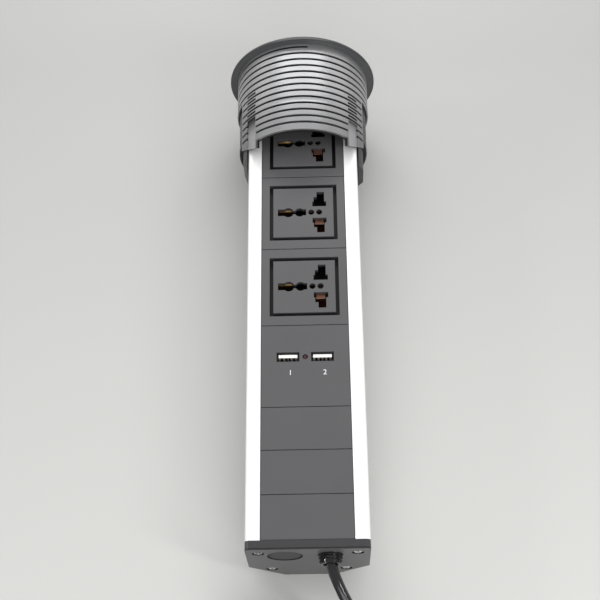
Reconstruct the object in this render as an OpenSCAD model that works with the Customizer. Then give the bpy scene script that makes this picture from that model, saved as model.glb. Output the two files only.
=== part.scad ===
// Pop-up desk socket, lying on its back with the tower lowered into its collar.
// +X is to the right of the outlets, +Y runs up the tower and +Z points out of the outlets' faces.
// The origin is on the collar's axis, in the plane where the flange's underside meets the desk.

/* [Modules] */
// Height of a full module along the tower
module_h = 52; // [50:0.5:56]
// Width of the plates between the two rails
panel_w = 52.2; // [50:0.2:53]
// Joint line between neighbouring plates
joint_gap = 0.35; // [0.3:0.05:0.8]
// How far the plates sit behind the front of the rails
plate_setback = 0.5; // [0.2:0.1:1]
// Thickness of the tabs that slide behind the rails
tab_t = 1.8; // [1.4:0.1:2.4]
// How far a tab reaches behind its rail
tab_reach = 2.5; // [1.5:0.1:3.5]
// Chamfer round the front of a plate
plate_chamfer = 0.2; // [0.2:0.1:0.6]

/* [Tower profile] */
// Width of the aluminium profile
tower_w = 69.6; // [66:0.2:74]
// Depth of the profile from front to back
tower_d = 58; // [54:0.5:60]
// Depth of the straight sides, in front of the slanted ones
side_d = 38; // [34:0.5:40]
// Width of the flat back
back_w = 29; // [28:0.5:38]
// Radius of the front corners of the rails
front_r = 3; // [2:0.5:6]
// Wall of the profile
wall = 2.2; // [1.8:0.1:2.8]
// Distance from the front of the rails to the collar's axis
front_to_axis = 22; // [20:0.5:24]
// Radius of a screw port in the profile
port_r = 3.2; // [2.8:0.1:3.6]
// Distance of the front screw ports from the side of the profile
front_port_in = 7.1; // [5.6:0.1:8]
// Depth of the front screw ports behind the front of the rails
front_port_d = 8.9; // [8:0.1:10]
// Distance of the rear screw ports from the slanted side
rear_port_in = 6.5; // [5:0.1:7]
// Distance of the rear screw ports from the back
rear_port_up = 13.3; // [10:0.1:14]

/* [Collar] */
// Gap between the tower's corners and the bore of the sleeve
bore_gap = 0.9; // [0.7:0.1:2.5]
// Wall of the sleeve
sleeve_wall = 3; // [2.8:0.1:5]
// Height of the sleeve below the flange
sleeve_h = 66.4; // [64:0.2:68]
// Rim of the flange beyond the sleeve
flange_rim = 5; // [3:0.5:9]
// Thickness of the flange
flange_t = 3.4; // [2.6:0.1:5]
// Radius of the flange's upper edge
flange_edge_r = 2.6; // [1:0.1:3]
// Spacing of the ring grooves
groove_pitch = 4.9; // [4:0.1:6]
// Width of a ring groove
groove_w = 1.6; // [0.8:0.1:1.8]
// Depth of a ring groove
groove_d = 1.6; // [0.6:0.1:1.8]
// First ring groove below the flange
groove_first = 2.1; // [1.5:0.1:3]
// Half of the angle that the lower ring grooves cover, at the front and at the back
groove_half = 63; // [60:1:70]
// Angle at which the uppermost groove ends, right of the middle
first_groove_end = 6; // [0:1:20]
// Angle of the smooth strips' inner edges
strip_from = 43; // [40:0.5:46]
// Angle of the smooth strips' outer edges
strip_to = 54.5; // [52:0.5:58]
// Depth of the smooth strips
strip_depth = 1; // [0.8:0.1:1.4]
// Top of the left strip below the flange
strip_top_left = 47.3; // [44:0.1:54]
// Top of the right strip below the flange
strip_top_right = 52.3; // [44:0.1:54]
// Ring groove after which the short grooves above the left strip start
short_after_left = 5; // [4:1:6]
// Ring groove after which the short grooves above the right strip start
short_after_right = 6; // [4:1:6]
// How far the plain sides step in below their upper band
side_step = 1.8; // [1:0.1:1.9]
// Height of the upper band on the plain sides
side_band_h = 29; // [28:1:30]
// Level at which the sides and the back of the sleeve end
sides_to = 58; // [57.5:0.5:59]
// Level of the legs' lower corners beside the front opening
leg_to = 72.4; // [70:0.2:74]
// Slant of the legs' lower ends
leg_slant = 26.5; // [22:0.5:30]
// Level of the guide tabs' lower ends
tab_to = 78.5; // [74:0.5:84]
// Greatest thickness of the guide tabs
tab_wall = 4; // [3.4:0.1:5]
// Front edges of the guide tabs, in front of the axis
tab_ahead = 17.5; // [9:0.5:17.5]
// Rear edges of the guide tabs, behind the axis
tab_behind = 6; // [4:0.5:12]
// Height over which the left guide tab tapers to its lower end
tab_taper_left = 10; // [4:0.5:12]
// Height over which the right guide tab tapers to its lower end
tab_taper_right = 2.6; // [1:0.1:6]
// Running clearance between the tower and its guides
slide_fit = 0.4; // [0.3:0.05:0.6]
// Thickness of the guide ring that the lid rests on
guide_ring_t = 3; // [2:0.5:5]
// Width of the finger gap in the guide ring
finger_gap_w = 30; // [26:1:36]

/* [Lid and caps] */
// Thickness of the lid
lid_t = 4; // [3.5:0.1:5]
// Gap round the lid
lid_gap = 0.4; // [0.3:0.1:0.8]
// Rest gap between the lid and the guide ring
lid_rest = 0.3; // [0.2:0.05:0.5]
// Radius of the lid's two pegs
lid_peg_r = 2.5; // [2:0.1:3]
// Length of the lid's two pegs
lid_peg_len = 5; // [4:0.5:6]
// Chamfer on the lid's edge
lid_chamfer = 0.8; // [0.4:0.1:1.2]
// Radius of the finger notch in the lid
notch_r = 11; // [9:0.5:12]
// Height of the top cap
top_cap_h = 9.3; // [8:0.1:12]
// Thickness of the bottom cap
bottom_cap_t = 5.3; // [4.5:0.1:7]
// Chamfer on the front edge of the bottom cap
cap_edge = 0.6; // [0.3:0.1:1]
// Lip of the bottom cap behind the profile, which stops the tower when it is raised
stop_lip = 1.2; // [0.9:0.1:2]
// Radius of the cap screws' heads
screw_head_r = 2.8; // [2.4:0.1:3]
// Radius of the cap screws' shanks
screw_r = 1.7; // [1.4:0.1:1.9]
// Length of the cap screws under their heads
screw_len = 16; // [14:1:20]
// Radius of the recess round a screw head
screw_recess_r = 3.5; // [3.3:0.1:3.8]
// Depth of the recess round a screw head
screw_recess_d = 1.7; // [1.2:0.1:2.2]
// Radius of the knock-out disc
knockout_r = 9.4; // [8:0.1:11]
// How far the knock-out disc sits behind the cap's face
knockout_back = 0.3; // [0.2:0.1:0.8]
// Sideways place of the knock-out disc
knockout_x = -13; // [-14:0.5:-12]
// Gap round the knock-out disc
knockout_gap = 0.6; // [0.3:0.1:0.9]
// Height of the knock-out disc above the collar's axis
knockout_z = 7; // [5:0.1:7.2]

/* [Outlets] */
// Width of the window in an outlet's frame
window_w = 42.2; // [40:0.1:44]
// Height of the window in an outlet's frame
window_h = 39.7; // [37:0.1:41]
// Width of the dark channel round an outlet's face
channel_w = 2.2; // [1.4:0.1:2.6]
// Thickness of the face's hidden flange
face_flange_t = 1.6; // [1.2:0.1:2.4]
// Skin of the face in front of the contacts
face_skin = 2.8; // [1.6:0.1:3.4]
// Wall round the pocket behind the face's skin
face_wall = 1.6; // [1.2:0.1:2]
// Wall of a rear housing
housing_wall = 1.6; // [1.2:0.1:2.2]
// Gap between a rear housing and the screw ports
housing_gap = 1.5; // [1:0.1:2]
// Depth of a rear housing behind the front of the rails
housing_d = 26; // [25:0.5:30]
// Line and neutral pins, right of the outlet's middle
pin_x = 10.8; // [10.4:0.1:11.2]
// Distance from the line and neutral pins to the earth pin, across the tower
earth_reach = 22.2; // [21.8:0.1:22.6]
// Distance from the middle to the line pin, along the tower
pin_y = 11.1; // [10.8:0.1:11.4]
// Width of the line and neutral slots, across the tower
slot_w = 4.7; // [4.6:0.1:5]
// Length of the line and neutral slots, along the tower
slot_h = 7; // [6.8:0.1:7.4]
// Length of the earth slot, across the tower
earth_w = 9.2; // [8.6:0.1:9.6]
// Height of the earth slot, along the tower
earth_h = 4.7; // [4.6:0.1:5]
// Thickness of the contacts' sheet metal
contact_t = 0.8; // [0.6:0.1:1]
// Flare at the mouth of a contact
contact_flare = 0.8; // [0.6:0.1:1.2]
// Height of the closed inner end of a line contact
line_end_h = 12; // [8:0.5:14]
// Width of the lip on the closed inner end of a neutral contact
lip_w = 5.6; // [4:0.1:6]
// Reach of the lip into the aperture for flat pins
lip_reach = 3; // [1.5:0.1:3]
// Width of a busbar
busbar_w = 5; // [4:0.5:6]
// Thickness of a busbar
busbar_t = 1.5; // [1:0.1:2]

/* [Charging ports] */
// Sideways distance of a port from the middle
port_x = 10.2; // [9.5:0.1:11]
// Place of the ports above the middle of their plate
port_up = 5.4; // [4:0.1:7]
// Outer width of a port's shell
shell_w = 13.1; // [12.9:0.1:13.4]
// Outer height of a port's shell
shell_h = 5.7; // [5.6:0.1:6]
// Sheet metal of a port's shell
shell_t = 0.3; // [0.3:0.05:0.4]
// Gap between a shell and its window
shell_gap = 0.2; // [0.15:0.05:0.3]
// Width of a port's tongue
tongue_w = 11.1; // [10.8:0.1:11.3]
// Thickness of a port's tongue
tongue_t = 1.9; // [1.7:0.1:2]
// How far a shell's mouth stays behind the plate
shell_back = 0.8; // [0.3:0.1:1.2]
// How far a tongue stays behind the mouth of its shell
tongue_back = 0.6; // [0.4:0.1:2]
// Width of a spring contact under a tongue
leaf_w = 1.2; // [0.8:0.1:1.4]
// Thickness of a spring contact under a tongue
leaf_t = 0.3; // [0.2:0.05:0.4]
// Gap between the circuit board and its housing
board_gap = 1.2; // [0.6:0.1:2]
// Depth of the circuit board behind the front of the rails
board_d = 16; // [14:0.5:18]
// Thickness of the circuit board
board_t = 1.6; // [1.2:0.1:2]
// Radius of the indicator
indicator_r = 1.4; // [1.2:0.1:2]
// How far the indicator's edge stays behind the plate
indicator_back = 0.7; // [0.4:0.1:1]
// Height of the indicator's dome
indicator_dome = 0.4; // [0.2:0.1:0.6]

/* [Gland] */
// Radius of the gland's ribbed collar
gland_r = 7.1; // [6.6:0.1:8]
// Radius of the gland's thread
gland_thread_r = 6; // [5.4:0.1:6.2]
// Length of the gland outside the cap
gland_out = 5.6; // [3:0.1:6]
// Length of the gland inside the cap
gland_in = 8; // [7:0.5:10]
// Sideways place of the gland
gland_x = 12.5; // [12:0.1:13.5]
// Height of the gland above the collar's axis
gland_z = 9; // [6:0.1:9.2]
// Width of the locknut across its corners
locknut_w = 17; // [16:0.5:17]
// Thickness of the locknut
locknut_t = 4; // [3:0.5:5]

/* [Cord and plug] */
// Diameter of the cord
cord_d = 6.2; // [5.8:0.1:6.4]
// Smallest radius of the coil's spiral
coil_in = 27.6; // [26:0.2:30]
// Radial spacing of the coil's loops
coil_pitch = 6.8; // [6.7:0.05:7.2]
// Height between the coil's two layers
coil_layer = 6.7; // [6.7:0.05:7.2]
// Turns of the coil
coil_turns = 5.5; // [3.5:1:7.5]
// Width of the tie
tie_w = 9; // [5:0.5:14]
// Thickness of the tie
tie_t = 1; // [0.6:0.1:1.4]
// Gap between the tie and the cord
tie_gap = 0.6; // [0.5:0.1:1]
// Length of the plug's strain relief
relief_len = 40; // [36:1:60]
// Width of the plug
plug_w = 50; // [46:1:54]
// Length of the plug
plug_len = 48; // [46:1:54]
// Thickness of the plug's body
plug_t = 21; // [18:0.5:24]
// Corner radius of the plug
plug_r = 9; // [4:0.5:12]

/* [Hidden] */
$fn = 64;
// Overlap that makes cuts pass cleanly through a face
eps = 0.5;
// Clearances of the sliding plates in the profile, and of the lid's pegs and the board's parts
rail_fit = 0.2;
tab_fit = 0.15;
peg_fit = 0.2;

// Profile: half width, back and slant, with 2-D y pointing to the back
half_w = tower_w / 2;
front_y = -front_to_axis;
back_y = front_y + tower_d;
slant_y = front_y + side_d;
slant_angle = atan((half_w - back_w / 2) / (tower_d - side_d));
front_port = [half_w - front_port_in, front_y + front_port_d];
rear_port_x = back_w / 2 + rear_port_up * tan(slant_angle) - rear_port_in;
rear_port = [rear_port_x, back_y - rear_port_up];
ports = [front_port, rear_port, [-front_port.x, front_port.y], [-rear_port.x, rear_port.y]];
ledge_t = 1.6;

// Collar: the bore clears the tower's widest corners
front_reach = norm([half_w - front_r, front_to_axis - front_r]) + front_r;
back_reach = max(norm([half_w, slant_y]), norm([back_w / 2, back_y]));
bore_r = max(front_reach, back_reach) + bore_gap;
sleeve_r = bore_r + sleeve_wall;
flange_r = sleeve_r + flange_rim;
tab_r = bore_r - bore_gap;
tab_in = half_w + slide_fit;
tab_out = tab_in + tab_wall;
// Inner edges of the legs, and the lap of the lower grooves over the strips, as angles
leg_from = strip_from - 1;
strip_lap = 0.4;
// Lower end of the tube that the legs are cut from
leg_end = leg_to + eps;
groove_count = floor((sleeve_h - groove_first - groove_w) / groove_pitch) + 1;
// Grooves beside the side bands, which run all round
band_grooves = floor((side_band_h - groove_first) / groove_pitch);
short_grooves = 4;
// Angle at which the uppermost groove starts on the left
first_groove_start = 100;
// Narrow land between the lower grooves and the plain sides, as an angle
side_land = 1;
// Step between the lower edge of the plain sides and the ledge that carries the guide tabs
ledge_up = 1;
lid_r = bore_r - lid_gap;
lid_peg_x = tower_w / 6;

// Levels along the tower
lid_bottom = flange_t - lid_t;
profile_top = lid_bottom - top_cap_h;
half_h = module_h / 2;
tower_len = 6 * module_h;
profile_bottom = profile_top - tower_len;
cap_bottom = profile_bottom - bottom_cap_t;
port_plate_y = profile_bottom + 4 * half_h;
function blank_y(i) = profile_bottom + half_h * (i - 0.5);
function outlet_y(i) = profile_bottom + half_h * (4 + 2 * i);
top_blank_y = profile_top - half_h / 2;

// Levels out of the faces
plate_front = front_to_axis - plate_setback;
tab_front = front_to_axis - wall - tab_fit;
plate_back = tab_front - tab_t;
face_back = plate_back - face_flange_t;
housing_back = front_to_axis - housing_d;
housing_floor = housing_back + housing_wall;
housing_w = 2 * (front_port.x - port_r - housing_gap);
housing_h = module_h - 5;
// Ribs behind the blank plates, short enough to clear the gland
rib_w = housing_w - 4 * housing_wall;
rib_d = 2.4;
shell_front = plate_front - shell_back;
board_front = front_to_axis - board_d;
board_w = housing_w - 2 * (housing_wall + board_gap);
board_h = half_h;
// Spring contacts under a tongue, measured from its middle
leaf_x = [-3.5, -1, 1, 3.5];
tongue_y = shell_h / 2 - shell_t - 0.6 - tongue_t / 2;
// The knock-out disc's inner flange ends short of the plate in front of it
knockout_hold = min(knockout_gap + 1, plate_back - rail_fit - knockout_z - knockout_r);
board_post_r = 2.2;

// Face inside its channel
face_w = window_w - 2 * channel_w;
face_h = window_h - 2 * channel_w;

// Outlet apertures, measured from the middle of the face
blade_y0 = 4.2;
blade_y1 = 7.7;
blade_left = 5.1;
blade_right = 3.6;
step_left = 1.9;
step_y1 = 10.9;
earth_x = pin_x - earth_reach;
round_earth_x = 1.9;
round_earth_r = 3.3;
small_earth_x = 9.1;
small_earth_r = 3;
small_earth_tab = 4;
neck_h = 2.4;
pilot_r = 1.9;
pilot_x = [4.95, 9.9];

// Contacts stand on the housing's floor and end just under the face's skin
contact_gap = 0.15;
contact_top = plate_front - face_skin - 2 * contact_gap;
contact_h = contact_top - housing_floor;
// The line and neutral leaves stay behind the face's flange
leaf_h = face_back - 2 * contact_gap - housing_floor;
// Line and neutral contacts: leaves just outside the apertures, an end just inside their inner edges
blade_gap = blade_left + blade_right + 0.2;
blade_mid = pin_x + (blade_right - blade_left) / 2;
contact_from = blade_y0 - 0.4 - contact_t;
lip_x = pin_x - 0.9;
post_w = 2;
post_fit = 0.2;
line_bar_x = pin_x + slot_w / 2 + contact_t - post_w / 2 + 1;
neutral_bar_x = pin_x - slot_w / 2 - contact_t + post_w / 2 - 1;
busbar_bottom = port_plate_y - half_h / 2;
busbar_top = outlet_y(3) + half_h * 0.7;

// The lower edge of the flange and the bottom cap's lip rest on one table, which is a little out of
// square with the tower
lip_y = back_y + stop_lip;
table_tilt = atan((flange_r - lip_y) / -cap_bottom);
function table_z(y) = -flange_r - y * tan(table_tilt);

// Cord: hand-set route from the gland down to the table and on to the coil
cord_r = cord_d / 2;
cord_base = tie_t + tie_gap;
lead_route = [
  [gland_x, -310, gland_z], [gland_x, -322, gland_z], [gland_x, -328.5, gland_z], [13, -333, 8.7],
  [14, -337, 8.1], [15.6, -341, 7], [17.5, -345.2, 5.3], [20, -350, 2.7], [23.4, -355.2, -0.7],
  [27.8, -361, -5.1], [33.2, -367.4, -10.4], [39.7, -374.8, -16.1], [46.6, -383, -21.4],
  [52.8, -392.6, -25.8], [57.5, -403.4, -28.9], [60.8, -415.4, -30.2], [63.1, -428.2, -30],
  [64.2, -441, -28.9]
];
coil_place = [18, -457];
coil_out = coil_in + coil_pitch * coil_turns / 2;
loop_steps = 24;
layer_1 = cord_base + cord_r;
layer_2 = layer_1 + coil_layer;
function ease(t) = t < 0 ? 0 : t > 1 ? 1 : t * t * (3 - 2 * t);
// One point of the coil: in along the lower layer, up in the half turn where it reverses, out again
function coil_point(t) =
  let (r = coil_in + coil_pitch * abs(t - coil_turns / 2), a = -360 * t)
  [r * cos(a), r * sin(a), layer_1 + coil_layer * ease((t - coil_turns / 2) * 2 + 0.5)];
coil_path = concat(
  [[coil_out, cord_d, layer_1]],
  [for (i = [0 : coil_turns * loop_steps]) coil_point(i / loop_steps)],
  [[-coil_out, cord_d, layer_2]]
);
coil_self_gap = min([
  for (i = [0 : len(coil_path) - 1]) for (j = [i + loop_steps / 2 : 1 : len(coil_path) - 1])
    norm(coil_path[i] - coil_path[j])
]) - cord_d;
function path_length(p) = len(p) < 2 ? 0 : [for (i = 1, s = 0; i <= len(p);
  s = i < len(p) ? s + norm(p[i] - p[i - 1]) : s, i = i + 1) s][len(p) - 1];
function laid(p) = [
  coil_place.x + p.x,
  coil_place.y + p.y * cos(table_tilt) + p.z * sin(table_tilt),
  table_z(coil_place.y) - p.y * sin(table_tilt) + p.z * cos(table_tilt)
];
lead_path = concat(lead_route, [laid(coil_path[0])]);
echo(coil_self_gap = coil_self_gap, cord_length = path_length(lead_path) + path_length(coil_path));

// Plug: pins up, cord entry level with the coil's upper layer
relief_end_r = cord_r + 1.2;
relief_plug_r = 6.4;
plug_start = cord_d + relief_len;
power_pin = [6.35, 4, 17.7];
earth_pin = [4, 8, 22.7];
pin_spread = 11.1;
power_pin_y = 13.6;
earth_pin_y = power_pin_y + earth_reach;
pin_seat = 6;
fuse_cover = [13, 20, 2];

// Lays a solid that was drawn upright along the tower, its base at the given level
module along_tower(y) translate([0, y, 0]) rotate([-90, 0, 0]) children();

// Sets a solid on the table at the coil's place
module on_table()
  translate([coil_place.x, coil_place.y, table_z(coil_place.y)]) rotate([-table_tilt, 0, 0]) children();

// Outline of the tower, drawn in by an inset
module section(inset = 0) {
  w = half_w - inset;
  f = front_y + inset;
  r = max(front_r - inset, 0.4);
  s = slant_y - inset * tan(slant_angle / 2);
  b = back_y - inset;
  bw = back_w / 2 - inset * tan(45 - slant_angle / 2);
  polygon([[-w, f + r], [-w + r, f], [w - r, f], [w, f + r], [w, s], [bw, b], [-bw, b], [-w, s]]);
  for (side = [-1, 1]) translate([side * (w - r), f + r]) circle(r);
}

// Sector of a revolved shape, with angles counted to the right from the front
module sector(from, to) rotate([0, 0, from - 90]) rotate_extrude(angle = to - from) children();

// One ring groove in the sleeve's cross-section
module groove(level)
  translate([sleeve_r - groove_d, -level - groove_w / 2]) square([groove_d + eps, groove_w]);

// Rectangular slab whose front edges are chamfered
module slab(w, h, z0, z1, c) intersection() {
  rotate([90, 0, 0]) linear_extrude(h, center = true) front_trapezium(w, z0, z1, c);
  rotate([90, 0, 90]) linear_extrude(w, center = true) front_trapezium(h, z0, z1, c);
}

module front_trapezium(w, z0, z1, c)
  polygon([[-w / 2, z0], [w / 2, z0], [w / 2, z1 - c], [w / 2 - c, z1], [-w / 2 + c, z1], [-w / 2, z1 - c]]);

// Front plate of one module, with the tabs that slide behind the rails
module plate(h) {
  slab(panel_w, h - joint_gap, plate_back, plate_front, plate_chamfer);
  translate([0, 0, plate_back + tab_t / 2])
    cube([panel_w + 2 * tab_reach, h - joint_gap, tab_t], center = true);
}

// Rectangle that hangs in z between two levels
module box(w, h, z0, z1) translate([0, 0, (z0 + z1) / 2]) cube([w, h, z1 - z0], center = true);

module rounded_square(w, h, r) {
  square([w - 2 * r, h], center = true);
  square([w, h - 2 * r], center = true);
  for (sx = [-1, 1]) for (sy = [-1, 1]) translate([sx * (w / 2 - r), sy * (h / 2 - r)]) circle(r);
}

module collar_sleeve() color([0.16, 0.16, 0.17]) along_tower(0) {
  difference() {
    rotate_extrude() flange_section();
    translate([0, 0, -leg_end - eps]) cylinder(r = bore_r, h = leg_end + flange_t + 2 * eps);
    ring_grooves();
    strip(-1, strip_top_left, short_after_left);
    strip(1, strip_top_right, short_after_right);
    plain_sides();
    front_opening();
  }
  guide_ring();
  guide_tabs();
}

module flange_section() {
  flat = flange_r - flange_edge_r;
  inner_r = bore_r - sleeve_wall;
  translate([inner_r, -leg_end]) square([sleeve_r - inner_r, leg_end + flange_t]);
  translate([inner_r, 0]) square([flat - inner_r, flange_t]);
  translate([inner_r, 0]) square([flange_r - inner_r, flange_t - flange_edge_r]);
  intersection() {
    translate([flat, flange_t - flange_edge_r]) circle(flange_edge_r);
    translate([inner_r, 0]) square([flange_r, flange_t + eps]);
  }
}

// The uppermost groove stops short on the front, the next ones run round, the lower ones stop at the sides
module ring_grooves() {
  sector(-first_groove_start, first_groove_end) groove(groove_first);
  rotate_extrude() for (k = [1 : band_grooves]) groove(groove_first + k * groove_pitch);
  for (k = [band_grooves + 1 : groove_count - 1]) lower_groove(groove_first + k * groove_pitch);
}

// One of the lower ring grooves, which stops at a smooth strip that it would cross
module lower_groove(level) {
  left = level > strip_top_left ? strip_from + strip_lap : groove_half;
  right = level > strip_top_right ? strip_from + strip_lap : groove_half;
  sector(-left, right) groove(level);
  if (left < groove_half) sector(-groove_half, strip_lap - strip_to) groove(level);
  if (right < groove_half) sector(strip_to - strip_lap, groove_half) groove(level);
  sector(180 - groove_half, 180 + groove_half) groove(level);
}

// Smooth recessed strip with short grooves above it, halfway between the ring grooves
module strip(side, top, after) {
  from = side < 0 ? -strip_to : strip_from;
  to = side < 0 ? -strip_from : strip_to;
  sector(from, to) {
    translate([sleeve_r - strip_depth, -leg_end - eps]) square([strip_depth + eps, leg_end + eps - top]);
    for (k = [0 : short_grooves - 1]) groove(groove_first + (after + k + 0.5) * groove_pitch);
  }
}

// Plain walls at the sides, set in below their upper band; they and the back end above the front
module plain_sides() {
  from = groove_half + side_land;
  for (turn = [0, 180]) rotate([0, 0, turn]) sector(from, 180 - from)
    translate([sleeve_r - side_step, -leg_end - eps])
      square([side_step + eps, leg_end + eps - side_band_h]);
  sector(from, 360 - from) translate([bore_r - eps, -leg_end - eps])
    square([sleeve_wall + 2 * eps, leg_end + eps - sides_to]);
}

// Opening between the two legs at the front, and the slanted lower ends of the legs
module front_opening() {
  sector(-leg_from, leg_from) translate([bore_r - eps, -leg_end - eps])
    square([sleeve_wall + 2 * eps, leg_end + eps - sleeve_h]);
  leg_y = -sleeve_r * cos(leg_from);
  translate([0, leg_y, -leg_to]) rotate([leg_slant, 0, 0])
    translate([-2 * sleeve_r, -sleeve_r, -sleeve_r]) cube([4 * sleeve_r, sleeve_r + 23, sleeve_r]);
}

// Ring near the flange that guides the tower and carries the lid, open at the front for a finger
module guide_ring() translate([0, 0, lid_bottom - lid_rest - guide_ring_t]) linear_extrude(guide_ring_t)
  difference() {
    circle(bore_r + eps);
    section(-slide_fit);
    translate([-finger_gap_w / 2, -bore_r]) square([finger_gap_w, bore_r]);
  }

// Tabs at both sides that guide the tower below the sleeve, and the ledge inside it that carries them
module guide_tabs() {
  translate([0, 0, -sides_to + ledge_up]) linear_extrude(guide_ring_t) guide_outline(bore_r + eps, bore_r);
  guide_tab(-1, tab_taper_left);
  guide_tab(1, tab_taper_right);
}

module guide_tab(side, taper) intersection() {
  translate([0, 0, -tab_to]) linear_extrude(tab_to - sides_to + ledge_up + eps)
    guide_outline(tab_r, tab_behind);
  rotate([90, 0, 0]) linear_extrude(4 * tab_r, center = true) on_side(side) polygon([
    [tab_in - eps, -tab_to - eps], [tab_in + 0.8, -tab_to - eps], [tab_in + 0.8, -tab_to],
    [tab_out, taper - tab_to], [tab_out, 0], [tab_in - eps, 0]
  ]);
}

// Mirrors a shape to the left side
module on_side(side) mirror([side < 0 ? 1 : 0, 0, 0]) children();

module guide_outline(r, behind) difference() {
  intersection() {
    circle(r);
    translate([-2 * r, -tab_ahead]) square([4 * r, tab_ahead + behind]);
  }
  section(-slide_fit);
}

module tower_profile() color([0.86, 0.87, 0.88]) along_tower(profile_bottom) linear_extrude(tower_len)
  difference() {
    union() {
      difference() {
        section();
        section(wall);
      }
      for (side = [-1, 1]) translate([side * (half_w - wall / 2 + panel_w / 2 + rail_fit) / 2, 0])
        translate([0, front_y + wall + tab_t + 2 * tab_fit + ledge_t / 2])
          square([half_w - wall / 2 - panel_w / 2 - rail_fit, ledge_t], center = true);
      intersection() {
        section();
        for (p = ports) translate(p) {
          circle(port_r);
          translate([p.x > 0 ? 0 : -half_w, -1]) square([half_w, 2]);
        }
      }
    }
    translate([-panel_w / 2 - rail_fit, front_y - eps]) square([panel_w + 2 * rail_fit, wall + eps]);
    for (p = ports) translate(p) circle(screw_r);
  }

module top_lid() color([0.15, 0.15, 0.16]) along_tower(lid_bottom) {
  difference() {
    rotate_extrude()
      polygon([[0, 0], [lid_r, 0], [lid_r, lid_t - lid_chamfer], [lid_r - lid_chamfer, lid_t], [0, lid_t]]);
    translate([0, -lid_r, -eps]) cylinder(r = notch_r, h = lid_t + 2 * eps);
  }
  for (side = [-1, 1]) translate([side * lid_peg_x, 0, -lid_peg_len])
    cylinder(r = lid_peg_r, h = lid_peg_len + eps);
}

module top_cap() color([0.2, 0.2, 0.21]) along_tower(profile_top) difference() {
  linear_extrude(top_cap_h) section();
  for (p = ports) translate(p) {
    translate([0, 0, -eps]) cylinder(r = screw_r + peg_fit, h = top_cap_h);
    translate([0, 0, top_cap_h - 3]) cylinder(r = screw_recess_r, h = 3 + eps);
  }
  for (side = [-1, 1]) translate([side * lid_peg_x, 0, top_cap_h - lid_peg_len - 1])
    cylinder(r = lid_peg_r + peg_fit, h = lid_peg_len + 1 + eps);
}

// Screw with a domed head and a cross recess; it points down from its seat
module cap_screw() {
  difference() {
    intersection() {
      cylinder(r = screw_head_r, h = 2);
      translate([0, 0, -screw_head_r]) sphere(r = screw_head_r + 1.9);
    }
    for (turn = [0, 90]) rotate([0, 0, turn]) box(screw_head_r * 1.25, screw_head_r * 0.32, 0.7, 2 + eps);
  }
  translate([0, 0, -screw_len]) cylinder(r = screw_r - 0.05, h = screw_len + eps);
}

module top_cap_screws() color("silver") along_tower(profile_top + top_cap_h - 3)
  for (p = ports) translate(p) cap_screw();

module blank_plate(y) color([0.13, 0.13, 0.14]) translate([0, y, 0]) {
  plate(half_h);
  for (side = [-1, 1]) translate([0, side * half_h / 4, 0])
    box(rib_w, 1.5, plate_back - rib_d, plate_back + eps);
}

module blank_plate_top() blank_plate(top_blank_y);
module blank_plate_1() blank_plate(blank_y(1));
module blank_plate_2() blank_plate(blank_y(2));
module blank_plate_3() blank_plate(blank_y(3));

module outlet_frame(i) color([0.13, 0.13, 0.14]) translate([0, outlet_y(i), 0]) difference() {
  plate(module_h);
  box(window_w, window_h, plate_back - eps, plate_front + eps);
}

module outlet_face(i) color([0.14, 0.14, 0.15]) translate([0, outlet_y(i), 0]) difference() {
  union() {
    slab(face_w, face_h, plate_back - eps, plate_front, plate_chamfer);
    box(housing_w, housing_h, face_back, plate_back);
  }
  box(face_w - 2 * face_wall, face_h - 2 * face_wall, face_back - eps, plate_front - face_skin);
  translate([0, 0, face_back - eps]) linear_extrude(plate_front - face_back + 2 * eps) apertures();
}

// Line and neutral apertures for flat and round pins, the earth aperture and two pilot holes
module apertures() {
  for (side = [0, 1]) mirror([0, side, 0]) {
    translate([pin_x - slot_w / 2, blade_y0]) square([slot_w, pin_y + slot_h / 2 - blade_y0]);
    translate([pin_x - slot_w / 2 - step_left, blade_y0])
      square([slot_w / 2 + step_left, step_y1 - blade_y0]);
    translate([pin_x - blade_left, blade_y0]) square([blade_left + blade_right, blade_y1 - blade_y0]);
  }
  translate([earth_x - earth_w / 2, -earth_h / 2]) square([earth_w, earth_h]);
  translate([earth_x + round_earth_x, 0]) circle(round_earth_r);
  translate([earth_x + round_earth_x, -neck_h / 2]) square([small_earth_x - round_earth_x, neck_h]);
  translate([earth_x + small_earth_x, 0]) circle(small_earth_r);
  translate([earth_x + small_earth_x, -earth_h / 2 + 0.2]) square([small_earth_tab, earth_h - 0.4]);
  for (x = pilot_x) translate([x, 0]) circle(pilot_r);
}

// Open box behind a plate
module housing(z_front) difference() {
  box(housing_w, housing_h, housing_back, z_front);
  box(housing_w - 2 * housing_wall, housing_h - 2 * housing_wall, housing_floor, z_front + eps);
}

module outlet_housing(i) color([0.2, 0.2, 0.21]) translate([0, outlet_y(i), 0]) difference() {
  housing(face_back);
  for (x = [line_bar_x, neutral_bar_x, earth_x])
    translate([x, x == line_bar_x ? pin_y : x == neutral_bar_x ? -pin_y : 0, 0])
      box(post_w + 2 * post_fit, post_w + 2 * post_fit, housing_back - eps, housing_floor + eps);
}

// Cross-section of a sprung contact: two leaves on a base, flared at the mouth
module contact_section(gap, h) {
  g = gap / 2 + contact_gap;
  t = contact_t;
  f = contact_flare;
  polygon([
    [-g - t, 0], [-g - t, h - f], [-g - t - f, h], [-g - f, h], [-g, h - f], [-g, t],
    [g, t], [g, h - f], [g + f, h], [g + t + f, h], [g + t, h - f], [g + t, 0]
  ]);
}

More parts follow.
